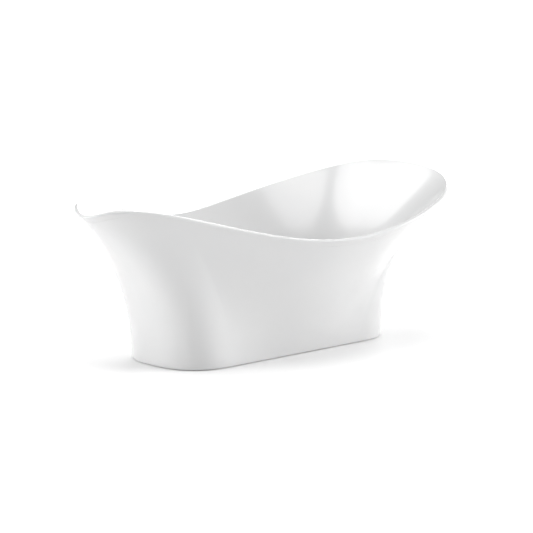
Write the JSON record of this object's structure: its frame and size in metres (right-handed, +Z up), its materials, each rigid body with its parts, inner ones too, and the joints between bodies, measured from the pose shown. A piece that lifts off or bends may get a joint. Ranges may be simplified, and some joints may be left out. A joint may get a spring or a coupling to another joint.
{
  "type": "freestanding bathtub",
  "caption": "Double-skinned freestanding slipper bath with a swooping rim, on a hidden steel frame with screw feet, with push plug and overflow.",
  "frame": {"origin": "on the floor, under the middle of the bath's length and width", "axes": "+X to the taller, wider end (bather's back), +Y across the bath, +Z up"},
  "size_m": [1.6499, 0.9334, 0.6366],
  "materials": {
    "acrylic": "smooth glossy white sanitary acrylic",
    "timber": "raw plywood, sealed",
    "steel": "galvanised mild steel",
    "zinc": "bright zinc plated",
    "chrome": "polished chrome plate",
    "rubber": "matt black rubber",
    "plastic": "moulded white polypropylene"
  },
  "bodies": {
    "tub": {"basin": "acrylic", "skirt": "acrylic", "floor_board": "timber", "frame_rails": "steel", "frame_crossbars": "steel", "frame_bolts": "zinc", "board_screws": "zinc", "skirt_brackets": "steel", "skirt_blocks": "timber", "bracket_screws": "zinc", "weld_nuts": "steel", "lock_nuts": "zinc", "waste_flange": "chrome", "flange_seal": "rubber", "waste_washer": "rubber", "waste_body": "plastic", "outlet_pipe": "plastic", "outlet_nut": "plastic", "outlet_seal": "rubber", "overflow_cover": "chrome", "overflow_screw": "chrome", "overflow_gasket": "rubber", "overflow_elbow": "plastic", "overflow_hose": "plastic", "hose_clips": "steel"},
    "plug": {"plug_cap": "chrome", "plug_stem": "chrome", "plug_seal": "rubber"},
    "foot_pad_1": {"foot_pad_1": "rubber"},
    "foot_stud_1": {"foot_stud_1": "zinc"},
    "foot_pad_2": {"foot_pad_2": "rubber"},
    "foot_stud_2": {"foot_stud_2": "zinc"},
    "foot_pad_3": {"foot_pad_3": "rubber"},
    "foot_stud_3": {"foot_stud_3": "zinc"},
    "foot_pad_4": {"foot_pad_4": "rubber"},
    "foot_stud_4": {"foot_stud_4": "zinc"}
  },
  "joints": [
    {"name": "plug_lift", "type": "slide", "parent": "tub", "child": "plug", "axis": [0, 0, 1], "range_m": [0, 0.01]},
    {"name": "foot_level_1", "type": "slide", "parent": "tub", "child": "foot_pad_1", "axis": [0, 0, -1], "range_m": [0, 0.014]},
    {"name": "foot_turn_1", "type": "hinge", "parent": "foot_pad_1", "child": "foot_stud_1", "pos_m": [-0.1513, -0.128, 0.04], "axis": [0, 0, -1], "range_deg": [0, 2880]},
    {"name": "foot_level_2", "type": "slide", "parent": "tub", "child": "foot_pad_2", "axis": [0, 0, -1], "range_m": [0, 0.014]},
    {"name": "foot_turn_2", "type": "hinge", "parent": "foot_pad_2", "child": "foot_stud_2", "pos_m": [-0.1513, 0.128, 0.04], "axis": [0, 0, -1], "range_deg": [0, 2880]},
    {"name": "foot_level_3", "type": "slide", "parent": "tub", "child": "foot_pad_3", "axis": [0, 0, -1], "range_m": [0, 0.014]},
    {"name": "foot_turn_3", "type": "hinge", "parent": "foot_pad_3", "child": "foot_stud_3", "pos_m": [0.309, -0.128, 0.04], "axis": [0, 0, -1], "range_deg": [0, 2880]},
    {"name": "foot_level_4", "type": "slide", "parent": "tub", "child": "foot_pad_4", "axis": [0, 0, -1], "range_m": [0, 0.014]},
    {"name": "foot_turn_4", "type": "hinge", "parent": "foot_pad_4", "child": "foot_stud_4", "pos_m": [0.309, 0.128, 0.04], "axis": [0, 0, -1], "range_deg": [0, 2880]}
  ],
  "couplings": [
    {"joint": "foot_turn_1", "follows": "foot_level_1", "rad_per_m": 3590.4},
    {"joint": "foot_turn_2", "follows": "foot_level_2", "rad_per_m": 3590.4},
    {"joint": "foot_turn_3", "follows": "foot_level_3", "rad_per_m": 3590.4},
    {"joint": "foot_turn_4", "follows": "foot_level_4", "rad_per_m": 3590.4}
  ]
}
